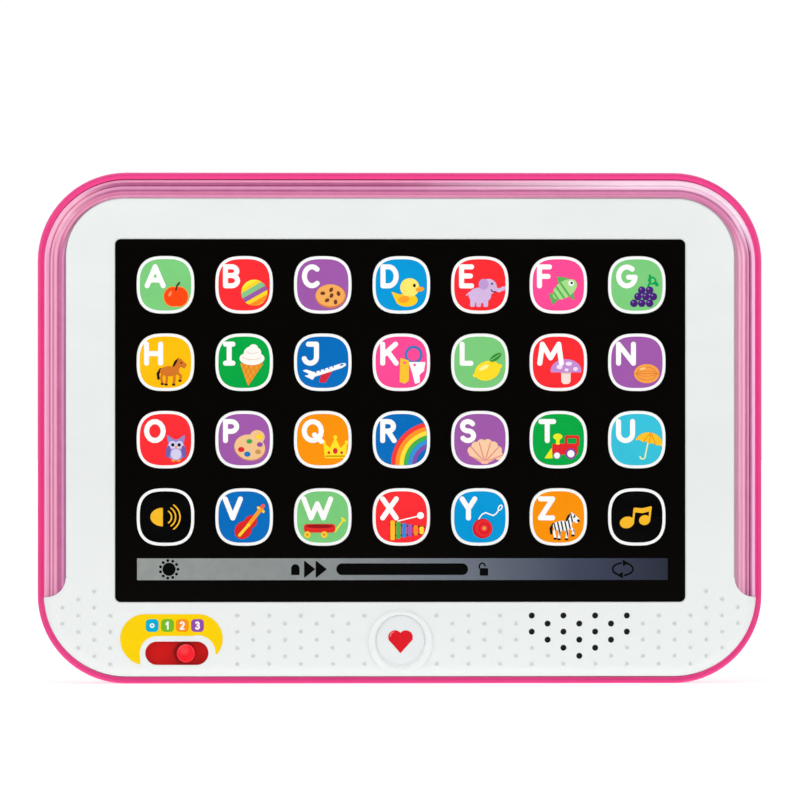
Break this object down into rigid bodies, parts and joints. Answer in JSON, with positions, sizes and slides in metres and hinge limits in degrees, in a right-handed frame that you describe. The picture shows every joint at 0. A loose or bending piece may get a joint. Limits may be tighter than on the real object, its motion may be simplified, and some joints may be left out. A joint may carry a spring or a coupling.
{
  "type": "toy tablet",
  "caption": "Landscape toy tablet for small children: rounded two-part case, push keys in a black panel, round home button, stage slider, speaker and rear battery door.",
  "frame": {"origin": "middle of the lower edge's box: centred in X and Y, lowest point at Z 0", "axes": "tablet upright: +X to the right as its user sees it, +Y out of the back, +Z to the top edge; the face looks along -Y"},
  "size_m": [0.2504, 0.025, 0.1766],
  "materials": {
    "case_pink": "moulded gloss",
    "band_pink": "translucent gloss",
    "face_white": "fine satin",
    "button_white": "gloss",
    "screen_black": "high gloss",
    "key_pastel_green": "printed gloss",
    "key_red": "printed gloss",
    "key_purple": "printed gloss",
    "key_sky_blue": "printed gloss",
    "key_pink": "printed gloss",
    "key_amber": "printed gloss",
    "key_green": "printed gloss",
    "key_blue": "printed gloss",
    "key_orange": "printed gloss",
    "key_cyan": "printed gloss",
    "key_black": "printed gloss",
    "label_yellow": "printed label",
    "track_red": "moulded gloss",
    "knob_red": "moulded gloss",
    "silicone_grey": "satin",
    "board_green": "solder-mask",
    "led_body": "clear resin",
    "epoxy_black": "poured resin",
    "capacitor_sleeve": "shrink sleeve",
    "contact_copper": "sheet",
    "contact_nickel": "plated",
    "cable_grey": "ribbon",
    "cloth_black": "woven",
    "speaker_steel": "pressed",
    "cone_paper": "pressed paper",
    "magnet_iron": "plated",
    "screw_steel": "zinc plated",
    "wire_red": "insulation",
    "wire_black": "insulation",
    "cell_sleeve": "printed sleeve"
  },
  "bodies": {
    "housing": {"rear_housing": "case_pink", "front_housing": "face_white", "trim_band": "band_pink", "screen_panel": "screen_black", "keypad_mat": "silicone_grey", "main_board": "board_green", "backlight_leds": "led_body", "controller_blob": "epoxy_black", "capacitor": "capacitor_sleeve", "home_pad": "silicone_grey", "slider_decal": "label_yellow", "slider_track": "track_red", "slider_board": "board_green", "ribbon_cable": "cable_grey", "grille_cloth": "cloth_black", "speaker_frame": "speaker_steel", "speaker_cone": "cone_paper", "speaker_magnet": "magnet_iron", "speaker_screws": "screw_steel", "speaker_wires": "wire_red", "batteries": "cell_sleeve", "spring_contacts": "contact_nickel", "plate_contacts": "contact_nickel", "red_wire": "wire_red", "black_wire": "wire_black", "housing_screws": "screw_steel", "board_screws": "screw_steel"},
    "home_button": {"home_button": "button_white"},
    "stage_slider": {"stage_slider": "knob_red", "slider_contact": "contact_copper"},
    "battery_door": {"battery_door": "case_pink", "door_screw": "screw_steel"},
    "key_a": {"key_a": "key_pastel_green"},
    "key_b": {"key_b": "key_red"},
    "key_c": {"key_c": "key_purple"},
    "key_d": {"key_d": "key_sky_blue"},
    "key_e": {"key_e": "key_red"},
    "key_f": {"key_f": "key_pink"},
    "key_g": {"key_g": "key_pastel_green"},
    "key_h": {"key_h": "key_amber"},
    "key_i": {"key_i": "key_green"},
    "key_j": {"key_j": "key_blue"},
    "key_k": {"key_k": "key_pink"},
    "key_l": {"key_l": "key_pastel_green"},
    "key_m": {"key_m": "key_red"},
    "key_n": {"key_n": "key_purple"},
    "key_o": {"key_o": "key_red"},
    "key_p": {"key_p": "key_purple"},
    "key_q": {"key_q": "key_orange"},
    "key_r": {"key_r": "key_blue"},
    "key_s": {"key_s": "key_purple"},
    "key_t": {"key_t": "key_green"},
    "key_u": {"key_u": "key_cyan"},
    "key_sound": {"key_sound": "key_black"},
    "key_v": {"key_v": "key_blue"},
    "key_w": {"key_w": "key_pastel_green"},
    "key_x": {"key_x": "key_red"},
    "key_y": {"key_y": "key_sky_blue"},
    "key_z": {"key_z": "key_orange"},
    "key_music": {"key_music": "key_black"}
  },
  "joints": [
    {"name": "open_battery_door", "type": "hinge", "parent": "housing", "child": "battery_door", "pos_m": [0, 0.0125, 0.111], "axis": [1, 0, 0], "range_deg": [0, 80]},
    {"name": "slide_stage", "type": "slide", "parent": "housing", "child": "stage_slider", "axis": [1, 0, 0], "range_m": [-0.01075, 0.00455]},
    {"name": "press_home", "type": "slide", "parent": "housing", "child": "home_button", "axis": [0, 1, 0], "range_m": [0, 0.0015]},
    {"name": "press_a", "type": "slide", "parent": "housing", "child": "key_a", "axis": [0, 1, 0], "range_m": [0, 0.0008]},
    {"name": "press_b", "type": "slide", "parent": "housing", "child": "key_b", "axis": [0, 1, 0], "range_m": [0, 0.0008]},
    {"name": "press_c", "type": "slide", "parent": "housing", "child": "key_c", "axis": [0, 1, 0], "range_m": [0, 0.0008]},
    {"name": "press_d", "type": "slide", "parent": "housing", "child": "key_d", "axis": [0, 1, 0], "range_m": [0, 0.0008]},
    {"name": "press_e", "type": "slide", "parent": "housing", "child": "key_e", "axis": [0, 1, 0], "range_m": [0, 0.0008]},
    {"name": "press_f", "type": "slide", "parent": "housing", "child": "key_f", "axis": [0, 1, 0], "range_m": [0, 0.0008]},
    {"name": "press_g", "type": "slide", "parent": "housing", "child": "key_g", "axis": [0, 1, 0], "range_m": [0, 0.0008]},
    {"name": "press_h", "type": "slide", "parent": "housing", "child": "key_h", "axis": [0, 1, 0], "range_m": [0, 0.0008]},
    {"name": "press_i", "type": "slide", "parent": "housing", "child": "key_i", "axis": [0, 1, 0], "range_m": [0, 0.0008]},
    {"name": "press_j", "type": "slide", "parent": "housing", "child": "key_j", "axis": [0, 1, 0], "range_m": [0, 0.0008]},
    {"name": "press_k", "type": "slide", "parent": "housing", "child": "key_k", "axis": [0, 1, 0], "range_m": [0, 0.0008]},
    {"name": "press_l", "type": "slide", "parent": "housing", "child": "key_l", "axis": [0, 1, 0], "range_m": [0, 0.0008]},
    {"name": "press_m", "type": "slide", "parent": "housing", "child": "key_m", "axis": [0, 1, 0], "range_m": [0, 0.0008]},
    {"name": "press_n", "type": "slide", "parent": "housing", "child": "key_n", "axis": [0, 1, 0], "range_m": [0, 0.0008]},
    {"name": "press_o", "type": "slide", "parent": "housing", "child": "key_o", "axis": [0, 1, 0], "range_m": [0, 0.0008]},
    {"name": "press_p", "type": "slide", "parent": "housing", "child": "key_p", "axis": [0, 1, 0], "range_m": [0, 0.0008]},
    {"name": "press_q", "type": "slide", "parent": "housing", "child": "key_q", "axis": [0, 1, 0], "range_m": [0, 0.0008]},
    {"name": "press_r", "type": "slide", "parent": "housing", "child": "key_r", "axis": [0, 1, 0], "range_m": [0, 0.0008]},
    {"name": "press_s", "type": "slide", "parent": "housing", "child": "key_s", "axis": [0, 1, 0], "range_m": [0, 0.0008]},
    {"name": "press_t", "type": "slide", "parent": "housing", "child": "key_t", "axis": [0, 1, 0], "range_m": [0, 0.0008]},
    {"name": "press_u", "type": "slide", "parent": "housing", "child": "key_u", "axis": [0, 1, 0], "range_m": [0, 0.0008]},
    {"name": "press_sound", "type": "slide", "parent": "housing", "child": "key_sound", "axis": [0, 1, 0], "range_m": [0, 0.0008]},
    {"name": "press_v", "type": "slide", "parent": "housing", "child": "key_v", "axis": [0, 1, 0], "range_m": [0, 0.0008]},
    {"name": "press_w", "type": "slide", "parent": "housing", "child": "key_w", "axis": [0, 1, 0], "range_m": [0, 0.0008]},
    {"name": "press_x", "type": "slide", "parent": "housing", "child": "key_x", "axis": [0, 1, 0], "range_m": [0, 0.0008]},
    {"name": "press_y", "type": "slide", "parent": "housing", "child": "key_y", "axis": [0, 1, 0], "range_m": [0, 0.0008]},
    {"name": "press_z", "type": "slide", "parent": "housing", "child": "key_z", "axis": [0, 1, 0], "range_m": [0, 0.0008]},
    {"name": "press_music", "type": "slide", "parent": "housing", "child": "key_music", "axis": [0, 1, 0], "range_m": [0, 0.0008]}
  ]
}
